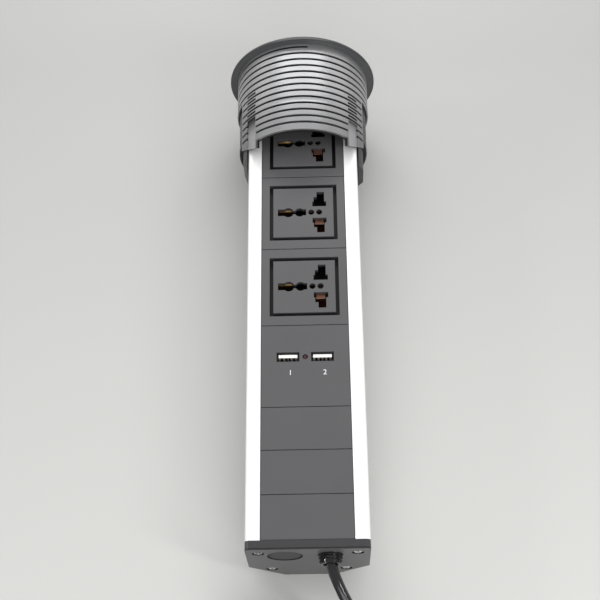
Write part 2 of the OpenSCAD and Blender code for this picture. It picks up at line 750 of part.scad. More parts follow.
// Line or neutral contact, closed at its inner end, with a post to its busbar
module power_contact(i, side, bar_x, end_top) {
  contact_len = pin_y + slot_h / 2 - contact_gap - contact_from;
  translate([0, outlet_y(i), 0]) {
    translate([blade_mid, side * (contact_from + contact_len / 2), housing_floor]) rotate([90, 0, 0])
      linear_extrude(contact_len, center = true) contact_section(blade_gap, leaf_h);
    translate([blade_mid, side * (contact_from + contact_t / 2), 0])
      box(blade_gap + 2 * contact_gap + contact_t, contact_t, housing_floor, end_top);
    translate([bar_x, side * pin_y, 0])
      box(post_w, post_w, housing_back, housing_floor + contact_t);
  }
}

module line_contact(i) color([0.85, 0.5, 0.28])
  power_contact(i, 1, line_bar_x, housing_floor + line_end_h);

// The neutral contact's end is bent over into a lip, which shows in the aperture
module neutral_contact(i) color([0.85, 0.5, 0.28]) {
  power_contact(i, -1, neutral_bar_x, contact_top);
  lip_len = blade_y0 + lip_reach - contact_from;
  translate([lip_x, outlet_y(i) - contact_from - lip_len / 2, 0])
    box(lip_w, lip_len, contact_top - contact_t, contact_top);
}

module earth_contact(i) color([0.85, 0.5, 0.28]) translate([0, outlet_y(i), 0]) {
  translate([earth_x, 0, housing_floor]) rotate([90, 0, 90])
    linear_extrude(earth_w - 2 * contact_gap, center = true) contact_section(earth_h, contact_h);
  translate([earth_x, 0, 0]) box(post_w, post_w, housing_back, housing_floor + contact_t);
}

module busbar(x) color([0.8, 0.62, 0.3])
  translate([x, (busbar_bottom + busbar_top) / 2, 0])
    box(busbar_w, busbar_top - busbar_bottom, housing_back - busbar_t, housing_back);

module line_busbar() busbar(line_bar_x + 1);
module neutral_busbar() busbar(neutral_bar_x - 1);
module earth_busbar() busbar(earth_x);

module port_plate() color([0.13, 0.13, 0.14]) translate([0, port_plate_y, 0]) difference() {
  plate(module_h);
  for (side = [-1, 1]) translate([side * port_x, port_up, 0])
    box(shell_w + 2 * shell_gap, shell_h + 2 * shell_gap, plate_back - eps, plate_front + eps);
  translate([0, port_up, plate_back - eps]) cylinder(r = indicator_r + shell_gap, h = housing_d);
}

module port_housing() color([0.2, 0.2, 0.21]) translate([0, port_plate_y, 0]) {
  housing(plate_back);
  for (sx = [-1, 1]) for (sy = [-1, 1])
    translate([sx * (board_w / 2 - 4), port_up + sy * (board_h / 2 - 4), housing_floor - eps])
      cylinder(r = board_post_r, h = board_front - board_t - housing_floor + eps);
}

module port_shell(side) color("silver") translate([side * port_x, port_plate_y + port_up, 0]) difference() {
  box(shell_w, shell_h, board_front, shell_front);
  box(shell_w - 2 * shell_t, shell_h - 2 * shell_t, board_front + 2, shell_front + eps);
}

module port_shell_left() port_shell(-1);
module port_shell_right() port_shell(1);

// The tongue stands on the shell's rear wall, in the upper half of the mouth
module port_tongue(side) color("white") translate([side * port_x, port_plate_y + port_up, 0])
  translate([0, tongue_y, 0]) box(tongue_w, tongue_t, board_front + 2, shell_front - tongue_back);

module port_tongue_left() port_tongue(-1);
module port_tongue_right() port_tongue(1);

// Four spring contacts along the underside of the tongue
module port_contacts(side) color([0.8, 0.62, 0.3]) translate([side * port_x, port_plate_y + port_up, 0])
  for (x = leaf_x) translate([x, tongue_y - tongue_t / 2 - leaf_t / 2, 0])
    box(leaf_w, leaf_t, board_front + 2, shell_front - tongue_back - leaf_t);

module port_contacts_left() port_contacts(-1);
module port_contacts_right() port_contacts(1);

module circuit_board() color([0.1, 0.35, 0.2]) translate([0, port_plate_y + port_up, 0])
  box(board_w, board_h, board_front - board_t, board_front);

module indicator() color([0.35, 0.05, 0.07]) translate([0, port_plate_y + port_up, 0]) {
  rim = plate_front - indicator_back;
  dome_r = (indicator_r * indicator_r + indicator_dome * indicator_dome) / (2 * indicator_dome);
  intersection() {
    translate([0, 0, board_front]) cylinder(r = indicator_r, h = housing_d);
    translate([0, 0, rim + indicator_dome - dome_r]) sphere(r = dome_r);
    box(housing_w, half_h, rim, plate_front);
  }
  translate([0, 0, board_front]) cylinder(r = indicator_r, h = rim - board_front);
}

module bottom_cap() color([0.2, 0.2, 0.21]) along_tower(cap_bottom) difference() {
  linear_extrude(bottom_cap_t) {
    section();
    intersection() {
      translate([0, stop_lip]) section();
      translate([-half_w, slant_y]) square([tower_w, tower_d]);
    }
  }
  for (p = ports) translate(p) {
    translate([0, 0, -eps]) cylinder(r = screw_r + peg_fit, h = bottom_cap_t + 2 * eps);
    translate([0, 0, -eps]) cylinder(r = screw_recess_r, h = screw_recess_d + eps);
  }
  translate([knockout_x, -knockout_z, -eps])
    cylinder(r = knockout_r + knockout_gap, h = bottom_cap_t + 2 * eps);
  translate([gland_x, -gland_z, -eps])
    cylinder(r = gland_thread_r + peg_fit, h = bottom_cap_t + 2 * eps);
  translate([0, front_y, 0]) rotate([45, 0, 0])
    cube([2 * tower_w, cap_edge * sqrt(2), cap_edge * sqrt(2)], center = true);
}

module bottom_cap_screws() color("silver") along_tower(cap_bottom + screw_recess_d)
  for (p = ports) translate(p) mirror([0, 0, 1]) cap_screw();

// Snap-in disc, a little set back outside and held by a flange inside the cap
module knockout_disc() color([0.2, 0.2, 0.21])
  along_tower(cap_bottom) translate([knockout_x, -knockout_z, 0]) {
  translate([0, 0, knockout_back]) cylinder(r = knockout_r, h = bottom_cap_t + eps - knockout_back);
  translate([0, 0, bottom_cap_t]) cylinder(r = knockout_r + knockout_hold, h = 1.5);
}

// Cord gland: threaded inside the cap, three ribs round a flared nose outside
module gland_body() color([0.07, 0.07, 0.08]) along_tower(cap_bottom) translate([gland_x, -gland_z, 0])
  rotate_extrude() difference() {
    union() {
      translate([0, -eps]) square([gland_thread_r, bottom_cap_t + gland_in + eps]);
      translate([0, -gland_out]) square([gland_r - 1.2, gland_out]);
      for (k = [0 : 2]) translate([0, -(k + 0.6) * gland_out / 3])
        square([gland_r - 0.3 * k, gland_out / 5]);
    }
    polygon([
      [-1, -gland_out - eps], [cord_r + 1.3, -gland_out - eps], [cord_r + 0.3, 0],
      [cord_r + 0.3, bottom_cap_t + gland_in + eps], [-1, bottom_cap_t + gland_in + eps]
    ]);
  }

module gland_locknut() color([0.09, 0.09, 0.1])
  along_tower(profile_bottom) translate([gland_x, -gland_z, 0]) difference() {
    cylinder(r = locknut_w / 2, h = locknut_t, $fn = 6);
    translate([0, 0, -eps]) cylinder(r = gland_thread_r + peg_fit / 2, h = locknut_t + 2 * eps);
  }

// Round tube swept along points, closed at both ends
module tube(path, r, sides) {
  n = len(path);
  tangents = [for (i = [0 : n - 1])
    let (d = path[min(i + 1, n - 1)] - path[max(i - 1, 0)]) d / norm(d)];
  across = [for (t = tangents) let (s = cross(t, [0, 0, 1])) s / norm(s)];
  points = [for (i = [0 : n - 1]) for (k = [0 : sides - 1])
    let (a = 360 * (k + 0.5) / sides)
    path[i] + r * (cos(a) * across[i] + sin(a) * cross(across[i], tangents[i]))];
  skin = [for (i = [0 : n - 2]) for (k = [0 : sides - 1])
    let (a = i * sides + k, b = i * sides + (k + 1) % sides)
    each [[a, b, b + sides], [a, b + sides, a + sides]]];
  start = [for (k = [1 : sides - 2]) [0, k + 1, k]];
  last = (n - 1) * sides;
  end = [for (k = [1 : sides - 2]) [last, last + k, last + k + 1]];
  polyhedron(points, concat(skin, start, end));
}

module cord_lead() color([0.05, 0.05, 0.06]) tube(lead_path, cord_r, 10);
module cord_coil() color([0.05, 0.05, 0.06]) on_table() tube(coil_path, cord_r, 6);

// Flat tie round all the loops
module cord_tie() color([0.1, 0.1, 0.11]) on_table() {
  bundle_w = coil_out - coil_in + cord_d + 2 * tie_gap;
  bundle_h = cord_d + coil_layer + 2 * tie_gap;
  translate([0, (coil_out + coil_in) / 2, cord_base - tie_gap + bundle_h / 2])
    rotate([90, 0, 90]) linear_extrude(tie_w, center = true) difference() {
      rounded_square(bundle_w + 2 * tie_t, bundle_h + 2 * tie_t, 2.5);
      rounded_square(bundle_w, bundle_h, 1.5);
    }
}

// Places a piece of the plug: the cord's end at the origin, +Y on into the plug, +Z up from the table
module at_plug() on_table() translate([-coil_out, cord_d, 0]) children();

// Tapered strain relief with ring slots that let it bend
module plug_strain_relief() color([0.06, 0.06, 0.07])
  at_plug() translate([0, 0, layer_2]) rotate([-90, 0, 0]) rotate_extrude() difference() {
    polygon([[0, 0], [relief_end_r, 0], [relief_plug_r, relief_len], [0, relief_len]]);
    for (k = [1 : 5]) translate([cord_r + 0.4, relief_len * k / 7]) square([relief_plug_r, 1.6]);
  }

module plug_body() color([0.06, 0.06, 0.07])
  at_plug() translate([0, relief_len + plug_len / 2, 0]) difference() {
  union() {
    linear_extrude(plug_t) rounded_square(plug_w - 3, plug_len, plug_r);
    translate([0, 0, 3]) linear_extrude(plug_t - 6) rounded_square(plug_w, plug_len, plug_r);
  }
  for (side = [-1, 1]) translate([side * pin_spread, power_pin_y - plug_len / 2, 0])
    box(power_pin.x, power_pin.y, plug_t - pin_seat, plug_t + eps);
  translate([0, earth_pin_y - plug_len / 2, 0])
    box(earth_pin.x, earth_pin.y, plug_t - pin_seat, plug_t + eps);
  translate([0, power_pin_y - plug_len / 2 + 1, 0])
    box(fuse_cover.x, fuse_cover.y, plug_t - fuse_cover.z, plug_t + eps);
}

// Straight pin with a chamfered tip
module plug_pin(size) slab(size.x, size.y, plug_t - pin_seat, plug_t + size.z, 0.8);

module plug_power_pins() color([0.8, 0.65, 0.35]) at_plug()
  for (side = [-1, 1]) translate([side * pin_spread, relief_len + power_pin_y, 0]) plug_pin(power_pin);

module plug_earth_pin() color([0.8, 0.65, 0.35]) at_plug()
  translate([0, relief_len + earth_pin_y, 0]) plug_pin(earth_pin);

module plug_fuse_cover() color([0.35, 0.08, 0.06]) at_plug() translate([0, relief_len + power_pin_y + 1, 0])
  box(fuse_cover.x - 2 * peg_fit, fuse_cover.y - 2 * peg_fit, plug_t - fuse_cover.z, plug_t);

collar_sleeve();
tower_profile();
top_lid();
top_cap();
top_cap_screws();
blank_plate_top();
for (i = [1 : 3]) {
  outlet_frame(i);
  outlet_face(i);
  outlet_housing(i);
  line_contact(i);
  neutral_contact(i);
  earth_contact(i);
}
port_plate();
port_housing();
port_shell_left();
port_shell_right();
port_tongue_left();
port_tongue_right();
port_contacts_left();
port_contacts_right();
circuit_board();
indicator();
blank_plate_1();
blank_plate_2();
blank_plate_3();
line_busbar();
neutral_busbar();
earth_busbar();
bottom_cap();
bottom_cap_screws();
knockout_disc();
gland_body();
gland_locknut();
cord_lead();
cord_coil();
cord_tie();
plug_strain_relief();
plug_body();
plug_power_pins();
plug_earth_pin();
plug_fuse_cover();
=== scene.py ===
# %% [markdown]
# # A pop-up desk socket, dressed in Blender
# The object is a tower of outlets that slides up through a round collar in a desk. Its solids come from a
# CAD model, so this lesson adds what the solids lack: the camera, the cord's smooth sheath, the finishes of
# plastic and metal, two printed numbers, and the light of a plain studio.

import math

import bmesh
import bpy
from mathutils import Matrix, Vector


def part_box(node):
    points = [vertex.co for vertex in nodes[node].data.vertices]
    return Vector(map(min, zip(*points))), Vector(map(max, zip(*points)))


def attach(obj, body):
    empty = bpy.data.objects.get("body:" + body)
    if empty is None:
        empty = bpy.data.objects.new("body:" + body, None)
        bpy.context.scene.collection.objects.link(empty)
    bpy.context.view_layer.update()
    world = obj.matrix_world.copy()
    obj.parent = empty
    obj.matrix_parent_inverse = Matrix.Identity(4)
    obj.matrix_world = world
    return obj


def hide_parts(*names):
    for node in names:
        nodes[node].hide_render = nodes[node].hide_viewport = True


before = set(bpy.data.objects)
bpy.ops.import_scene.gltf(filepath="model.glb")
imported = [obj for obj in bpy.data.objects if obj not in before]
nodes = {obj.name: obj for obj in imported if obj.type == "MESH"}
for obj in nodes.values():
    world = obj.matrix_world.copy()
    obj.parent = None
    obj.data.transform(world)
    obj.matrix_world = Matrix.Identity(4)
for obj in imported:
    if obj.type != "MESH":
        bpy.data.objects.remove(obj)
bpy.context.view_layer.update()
scene = bpy.context.scene
MM = 0.001


def mm(*values):
    """A point given in millimetres, as the drawing has it, in Blender's metres."""
    return Vector(values) * MM


# %% [markdown]
# ## Camera
# The picture was taken from high in front of the tower's foot, so the tower narrows towards its collar.
# The place, turn and lens were fitted to the outlines of the plates, the knock-out disc and the flange. A
# camera could be aimed with a Track To constraint, but that gives no roll. A camera looks along its own -Z,
# so its matrix is built from the right, up and back directions instead.

# %% Place the camera
CAMERA_ELEVATION = math.radians(63.804)
CAMERA_AZIMUTH = math.radians(2.808)
CAMERA_ROLL = math.radians(-3.754)
CAMERA_DISTANCE = 706.43 * MM
CAMERA_TARGET = mm(-2.693, -175.392, 22.0)
CLIP_START = 10 * MM
SENSOR_WIDTH = 36.0
LENS = 70.197

back = Vector(
    (
        math.sin(CAMERA_AZIMUTH) * math.cos(CAMERA_ELEVATION),
        -math.cos(CAMERA_AZIMUTH) * math.cos(CAMERA_ELEVATION),
        math.sin(CAMERA_ELEVATION),
    )
)
level_right = (-back).cross(Vector((0, 0, 1))).normalized()
level_up = level_right.cross(-back)
right = math.cos(CAMERA_ROLL) * level_right + math.sin(CAMERA_ROLL) * level_up
up = math.cos(CAMERA_ROLL) * level_up - math.sin(CAMERA_ROLL) * level_right
turn = Matrix((right, up, back)).transposed().to_4x4()
camera_data = bpy.data.cameras.new("camera")
camera_data.sensor_width = SENSOR_WIDTH
camera_data.lens = LENS
camera_data.clip_start = CLIP_START
camera = bpy.data.objects.new("camera", camera_data)
camera.matrix_world = Matrix.Translation(CAMERA_TARGET + back * CAMERA_DISTANCE) @ turn
scene.collection.objects.link(camera)
scene.camera = camera
print("camera at", tuple(round(c, 3) for c in camera.matrix_world.translation))

# %% [markdown]
# ## Cord
# The lead leaves the gland, bends to the right and sinks to the table. The photograph loses it at the
# lower edge, so the rest is put away as a two-layer coil with a tie and ends in its plug. The points
# repeat the CAD route: listed ones for the free stretch, a spiral in and out for the coil. The sheath
# could be swept as a mesh, but a curve keeps it round in every bend and measures its own length. One
# Bezier spline with automatic handles runs through all the points. Each point carries the cord's radius,
# so a round bevel of 1 gives the sheath its thickness.

# %% Set the cord's sizes
CORD_DIAMETER = 6.2
COIL_PLACE = (18.0, -457.0)
COIL_INNER = 27.6
COIL_PITCH = 6.8
COIL_LAYER = 6.7
COIL_TURNS = 5.5
CLIMB_TURNS = 0.5
LOOP_STEPS = 24
CORD_BASE = 1.6
FLANGE_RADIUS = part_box("collar_sleeve")[1].x / MM
CAP_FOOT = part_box("bottom_cap")[0] / MM
TABLE_TILT = math.atan((FLANGE_RADIUS + CAP_FOOT.z) / -CAP_FOOT.y)
LEAD_ROUTE = [
    (12.5, -322, 9), (12.5, -328.5, 9), (13, -333, 8.7), (14, -337, 8.1), (15.6, -341, 7),
    (17.5, -345.2, 5.3), (20, -350, 2.7), (23.4, -355.2, -0.7), (27.8, -361, -5.1),
    (33.2, -367.4, -10.4), (39.7, -374.8, -16.1), (46.6, -383, -21.4), (52.8, -392.6, -25.8),
    (57.5, -403.4, -28.9), (60.8, -415.4, -30.2), (63.1, -428.2, -30), (64.2, -441, -28.9),
]
print("flange radius:", round(FLANGE_RADIUS, 2), "table tilt:", round(math.degrees(TABLE_TILT), 3))

# %% Work out the cord's route
def table_height(y):
    """Height of the table below a point of the tower, in millimetres."""
    return -FLANGE_RADIUS - y * math.tan(TABLE_TILT)


def laid_on_table(x, y, z):
    """A point measured on the table from the coil's centre, as a point of the model."""
    return (
        COIL_PLACE[0] + x,
        COIL_PLACE[1] + y * math.cos(TABLE_TILT) + z * math.sin(TABLE_TILT),
        table_height(COIL_PLACE[1]) - y * math.sin(TABLE_TILT) + z * math.cos(TABLE_TILT),
    )


def coil_point(t):
    """A point of the coil after t turns: in on the lower layer, up, and out on the upper one."""
    rise = min(1.0, max(0.0, (t - COIL_TURNS / 2) / CLIMB_TURNS + 0.5))
    rise = rise * rise * (3 - 2 * rise)
    radius = COIL_INNER + COIL_PITCH * abs(t - COIL_TURNS / 2)
    angle = math.radians(-360 * t)
    height = CORD_BASE + CORD_DIAMETER / 2 + COIL_LAYER * rise
    return laid_on_table(radius * math.cos(angle), radius * math.sin(angle), height)


coil_outer = COIL_INNER + COIL_PITCH * COIL_TURNS / 2
lower_layer = CORD_BASE + CORD_DIAMETER / 2
route = list(LEAD_ROUTE)
route.append(laid_on_table(coil_outer, CORD_DIAMETER, lower_layer))
route += [coil_point(i / LOOP_STEPS) for i in range(int(COIL_TURNS * LOOP_STEPS) + 1)]
route.append(laid_on_table(-coil_outer, CORD_DIAMETER, lower_layer + COIL_LAYER))
print("cord points:", len(route))

# %% Draw the cord
ROUND_STEPS = 5
SPAN_STEPS = 5
cord_curve = bpy.data.curves.new("cord", "CURVE")
cord_curve.dimensions = "3D"
cord_curve.bevel_depth = 1.0
cord_curve.bevel_resolution = ROUND_STEPS
cord_curve.resolution_u = SPAN_STEPS
cord_curve.use_fill_caps = True
spline = cord_curve.splines.new("BEZIER")
spline.bezier_points.add(len(route) - 1)
for bezier_point, place in zip(spline.bezier_points, route):
    bezier_point.co = mm(*place)
    bezier_point.radius = CORD_DIAMETER / 2 * MM
    bezier_point.handle_left_type = bezier_point.handle_right_type = "AUTO"
cord = bpy.data.objects.new("cord", cord_curve)
scene.collection.objects.link(cord)

# %% List the cord's pieces, hang it on the tower and hide the CAD cord
CORD_PIECES = ["cord_tie", "plug_strain_relief", "plug_body"]
CORD_PIECES += ["plug_power_pins", "plug_earth_pin", "plug_fuse_cover"]
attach(cord, "tower")
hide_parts("cord_lead", "cord_coil")
print("pieces that go with the cord:", len(CORD_PIECES))

# %% [markdown]
# ## Finishes
# A finish is a small tree of shader nodes. It could be wired up node by node, but long lists of links are
# hard to follow. Two classes keep the maths readable: a Value wraps one socket and turns Python's operators
# into Math nodes, and a Finish makes any other node with one method. What varies over a surface goes only
# into colour, roughness, metallic or a bump, and constants are set straight on the shader's sockets.

# %% Shader maths as Python expressions
class Value:
    """A number or colour that varies over a surface."""

    def __init__(self, finish, socket):
        self.finish = finish
        self.socket = socket

    def math(self, operation, first, second):
        return self.finish.node("ShaderNodeMath", {"operation": operation}, {0: first, 1: second})

    def __add__(self, other):
        return self.math("ADD", self, other)

    def __sub__(self, other):
        return self.math("SUBTRACT", self, other)

    def __rsub__(self, other):
        return self.math("SUBTRACT", other, self)

    def __mul__(self, other):
        return self.math("MULTIPLY", self, other)

    __radd__ = __add__
    __rmul__ = __mul__


print("operators: +, -, *")

# %% One material as a class
BEVEL_SAMPLES = 6
MIX_FACTOR = 0
MIX_FIRST = 6
MIX_SECOND = 7
MIX_COLOUR = 2


class Finish:
    """One material: a Principled shader and the nodes that feed it."""

    made = []

    def __init__(self, name, **constants):
        self.material = bpy.data.materials.new(name)
        Finish.made.append(name)
        self.material.use_nodes = True
        self.tree = self.material.node_tree
        self.tree.nodes.clear()
        self.shader = self.tree.nodes.new("ShaderNodeBsdfPrincipled")
        output = self.tree.nodes.new("ShaderNodeOutputMaterial")
        self.tree.links.new(self.shader.outputs[0], output.inputs[0])
        self.set(**constants)

    def connect(self, socket, value):
        """Links a varying value to a socket, or sets a constant on it."""
        if isinstance(value, Value):
            self.tree.links.new(value.socket, socket)
        elif socket.type == "RGBA":
            socket.default_value = (*value, 1.0)
        else:
            socket.default_value = value

    def set(self, **values):
        """Connects the shader's own sockets, with an underscore for the space in a name."""
        for name, value in values.items():
            self.connect(self.shader.inputs[name.replace("_", " ")], value)

    def node(self, kind, settings=None, inputs=None, output=0):
        """Adds a node of any kind: its settings first, then the values or links of its sockets."""
        made = self.tree.nodes.new(kind)
        for name, value in (settings or {}).items():
            setattr(made, name, value)
        for name, value in (inputs or {}).items():
            self.connect(made.inputs[name], value)
        return Value(self, made.outputs[output])

    def place(self, scale=(1, 1, 1), shift=(0, 0, 0)):
        """Where a point lies in its object's own space, stretched and shifted."""
        coordinates = self.node("ShaderNodeTexCoord", output="Object")
        inputs = {"Vector": coordinates, "Scale": scale, "Location": shift}
        return self.node("ShaderNodeMapping", inputs=inputs)

    def noise(self, scale, detail=2.0, roughness=0.5, stretch=(1, 1, 1)):
        """Cloudy noise from 0 to 1, with its scale in cells to a metre."""
        return self.node(
            "ShaderNodeTexNoise",
            inputs={"Vector": self.place(stretch), "Scale": scale, "Detail": detail, "Roughness": roughness},
        )

    def rise(self, value, low, high):
        """Rises from 0 to 1 while a length goes from low to high, in millimetres."""
        limits = {"Value": value, "From Min": low * MM, "From Max": high * MM}
        return self.node("ShaderNodeMapRange", inputs=limits)

    def ramp(self, axis, low, high):
        """Rises from 0 to 1 between two places on an axis, in millimetres."""
        place = self.node("ShaderNodeTexCoord", output="Object")
        level = self.node("ShaderNodeSeparateXYZ", inputs={"Vector": place}, output=axis)
        return self.rise(level, low, high)

    def distance_ramp(self, low, high, place):
        """Rises from 0 to 1 between two lengths of a place's vector, in millimetres."""
        length = self.node("ShaderNodeVectorMath", {"operation": "LENGTH"}, {0: place}, output="Value")
        return self.rise(length, low, high)

    def radius_ramp(self, low, high, axis=(0, 0)):
        """Rises from 0 to 1 between two distances from a line along Y, in millimetres."""
        return self.distance_ramp(low, high, self.place((1, 0, 1), mm(-axis[0], 0, -axis[1])))

    def facing_up(self):
        """1 where a face looks straight up out of the plates, 0 on a wall square to them."""
        normal = self.node("ShaderNodeNewGeometry", output="Normal")
        return self.node("ShaderNodeSeparateXYZ", inputs={"Vector": normal}, output="Z")

    def mix(self, factor, first, second):
        """The first colour where the factor is 0, the second where it is 1."""
        inputs = {MIX_FACTOR: factor, MIX_FIRST: first, MIX_SECOND: second}
        return self.node("ShaderNodeMix", {"data_type": "RGBA"}, inputs, MIX_COLOUR)

    def soft_edge(self, radius):
        """A normal that rounds sharp edges by a radius in millimetres."""
        return self.node("ShaderNodeBevel", {"samples": BEVEL_SAMPLES}, {"Radius": radius * MM})

    def bump(self, height, strength, distance, normal=None):
        """Raises the surface by a height of at most a distance in millimetres."""
        inputs = {"Height": height, "Strength": strength, "Distance": distance * MM}
        if normal is not None:
            inputs["Normal"] = normal
        self.set(Normal=self.node("ShaderNodeBump", inputs=inputs))


print("finishes so far:", len(Finish.made))

# %% Put a finish on a piece
dressed = []


def dress(finish, *names):
    """Puts a finish on solids given by name, or on a piece made here."""
    for name in names:
        target = nodes[name] if isinstance(name, str) else name
        target.data.materials.clear()
        target.data.materials.append(finish.material)
        dressed.append(target.name)


print("dressed so far:", len(dressed))

# %% [markdown]
# ### Dark plastics
# The plates and caps are moulded in charcoal plastic with a fine spark-eroded grain that scatters light. An
# image could hold such a grain, but noise in the object's own space needs no map and never repeats. Little
# light reaches the channel round each face, so painted shade darkens the colour with the depth there, less
# on the walls than on the floor. The bottom cap's end face is painted paler as painted light, with a dark
# seam round its edge. The knock-out disc is cut loose all round, so its rim is dark too.

# %% Describe a moulded plastic
CHANNEL_FLOOR = 20.3
CHANNEL_LIP = 21.35
END_FACE = (CAP_FOOT.y + 0.05, CAP_FOOT.y + 0.15)
END_SEAM = (CAP_FOOT.y + 1.0, CAP_FOOT.y + 1.15)
SEAM_DARK = (0.004, 0.004, 0.004)
CLOUD_SCALE = 28.0
CLOUD_SHARE = 0.6
CLOUD_GLOSS = 0.06
SPECKLE_GLOSS = 0.1
MEAN_GLOSS = (CLOUD_GLOSS + SPECKLE_GLOSS) / 2
GRAIN_STRENGTH = 0.35


def moulded(name, colour, paler, roughness, grain, grain_size, edge, channel_shade=None, foot=None, rim=None):
    """A plastic with a grain whose depth and size are in millimetres, like the radius of its edges."""
    finish = Finish(name)
    clouds = finish.noise(CLOUD_SCALE, detail=3.0)
    speckle = finish.noise(1 / (grain_size * MM), detail=3.0, roughness=0.6)
    tint = finish.mix(clouds * CLOUD_SHARE + speckle * (1 - CLOUD_SHARE), colour, paler)
    if channel_shade is not None:
        # Painted shade: the colour darkens with depth in the channel round each face, less on its walls than
        # on its floor.
        depth = finish.mix(finish.facing_up(), *channel_shade)
        tint = finish.mix(finish.ramp("Z", CHANNEL_FLOOR, CHANNEL_LIP), depth, tint)
    if foot is not None:
        tint = finish.mix(finish.ramp("Y", *END_SEAM), SEAM_DARK, tint)
        # Painted light: the end face of the bottom cap is painted paler than the rest of the cap.
        tint = finish.mix(finish.ramp("Y", *END_FACE), foot, tint)
    if rim is not None:
        tint = finish.mix(finish.radius_ramp(*rim), tint, SEAM_DARK)
    gloss = roughness - MEAN_GLOSS + speckle * SPECKLE_GLOSS + clouds * CLOUD_GLOSS
    finish.set(Base_Color=tint, Roughness=gloss)
    finish.bump(speckle, GRAIN_STRENGTH, grain, finish.soft_edge(edge))
    return finish


print("end face of the bottom cap at", round(CAP_FOOT.y, 2), "mm")

# %% Make the moulded plastics
# Painted shade for the channel: a paler colour for its walls, a darker one for its floor.
CHANNEL_PAINTED_SHADE = ((0.045, 0.046, 0.05), (0.005, 0.005, 0.006))
# Painted light on the bottom cap's end face.
END_FACE_PAINTED_LIGHT = (0.095, 0.095, 0.098)
DISC_AXIS = (-13.0, 7.0)
DISC_RIM = (8.2, 8.6, DISC_AXIS)
plate_plastic = moulded(
    "plate_plastic", (0.059, 0.059, 0.062), (0.079, 0.078, 0.081),
    roughness=0.52, grain=0.06, grain_size=0.55, edge=0.2, channel_shade=CHANNEL_PAINTED_SHADE,
)
cap_plastic = moulded(
    "cap_plastic", (0.026, 0.026, 0.028), (0.036, 0.036, 0.038),
    roughness=0.4, grain=0.04, grain_size=0.6, edge=0.15, foot=END_FACE_PAINTED_LIGHT,
)
disc_plastic = moulded(
    "disc_plastic", (0.034, 0.034, 0.036), (0.044, 0.044, 0.046),
    roughness=0.5, grain=0.05, grain_size=0.6, edge=0.3, rim=DISC_RIM,
)
housing_plastic = moulded(
    "housing_plastic", (0.03, 0.03, 0.032), (0.04, 0.04, 0.042),
    roughness=0.6, grain=0.03, grain_size=0.6, edge=0.2,
)
gland_plastic = moulded(
    "gland_plastic", (0.006, 0.006, 0.007), (0.01, 0.01, 0.011),
    roughness=0.14, grain=0.01, grain_size=0.5, edge=0.2,
)
plug_plastic = moulded(
    "plug_plastic", (0.018, 0.018, 0.019), (0.028, 0.028, 0.03),
    roughness=0.45, grain=0.05, grain_size=0.7, edge=0.8,
)
print("finishes so far:", len(Finish.made))

# %% Dress the moulded pieces
OUTLETS = (1, 2, 3)
plates = ["port_plate", "blank_plate_top", "blank_plate_1", "blank_plate_2", "blank_plate_3"]
plates += [f"outlet_{i}_{part}" for i in OUTLETS for part in ("frame", "face")]
dress(plate_plastic, *plates)
dress(cap_plastic, "bottom_cap", "top_cap")
dress(disc_plastic, "knockout_disc")
dress(housing_plastic, "port_housing", *[f"outlet_{i}_housing" for i in OUTLETS])
dress(gland_plastic, "gland_body", "gland_locknut")
dress(plug_plastic, "plug_body", "plug_strain_relief", "cord_tie")
print("dressed so far:", len(dressed))

# %% [markdown]
# ### Lacquer on the collar
# The lands of the sleeve are coated with a satin metallic lacquer and mirror the lamps as broad bands. The
# coat doesn't reach the grooves, the bore or the flange, whose rim is a little darker. Two materials could
# share the piece, but its faces would have to be sorted. One finish tells coat from bare plastic by the
# radius and the height instead. The bare plastic is painted paler on the flange than in the grooves and the
# bore, as painted light and shade. The lower lands are painted a darker silver as painted shade, and the
# upper ends of the smooth strips lose the coat as a painted shadow under the step there.

# %% Lacquer the collar
LACQUER_RADII = (42.55, 42.85)
LAND_RADII = (43.1, 43.4)
RIM_RADII = (FLANGE_RADIUS - 0.7, FLANGE_RADIUS - 0.2)
FLANGE_UNDERSIDE = (-0.3, 0.0)
STRIP_SHADE = (-61.0, -50.0)
# Painted shade: the lower lands fade to a darker silver.
LOWER_LANDS_SHADE = (-62.0, -31.0)
LACQUER_SILVER = ((0.36, 0.36, 0.365), (0.41, 0.41, 0.415))
SHADED_SILVER = ((0.23, 0.23, 0.234), (0.26, 0.26, 0.264))
FLANGE_LIT_GREY = (0.068, 0.07, 0.072)
RIM_GREY = (0.024, 0.024, 0.024)
BARE_SHADED_BLACK = (0.01, 0.01, 0.011)
FLAKE_SCALE = 2500.0
FLAKE_DEPTH = 0.02
COAT_METALLIC = 0.85

collar_lacquer = Finish("collar_lacquer")
flakes = collar_lacquer.noise(FLAKE_SCALE, detail=3.0, roughness=0.6)
on_flange = collar_lacquer.ramp("Y", *FLANGE_UNDERSIDE)
on_land = collar_lacquer.radius_ramp(*LAND_RADII)
# Painted shadow: the upper ends of the smooth strips lose the coat, under the step there.
strip_end_shadow = collar_lacquer.ramp("Y", *STRIP_SHADE) * (1 - on_land)
coated = collar_lacquer.radius_ramp(*LACQUER_RADII) * (1 - on_flange) * (1 - strip_end_shadow)
plain_lacquer = collar_lacquer.mix(flakes, *LACQUER_SILVER)
shaded_lacquer = collar_lacquer.mix(flakes, *SHADED_SILVER)
# Painted shade: the lower lands get the darker silver.
lower_lands_shaded = (1 - collar_lacquer.ramp("Y", *LOWER_LANDS_SHADE)) * on_land
lacquer = collar_lacquer.mix(lower_lands_shaded, plain_lacquer, shaded_lacquer)
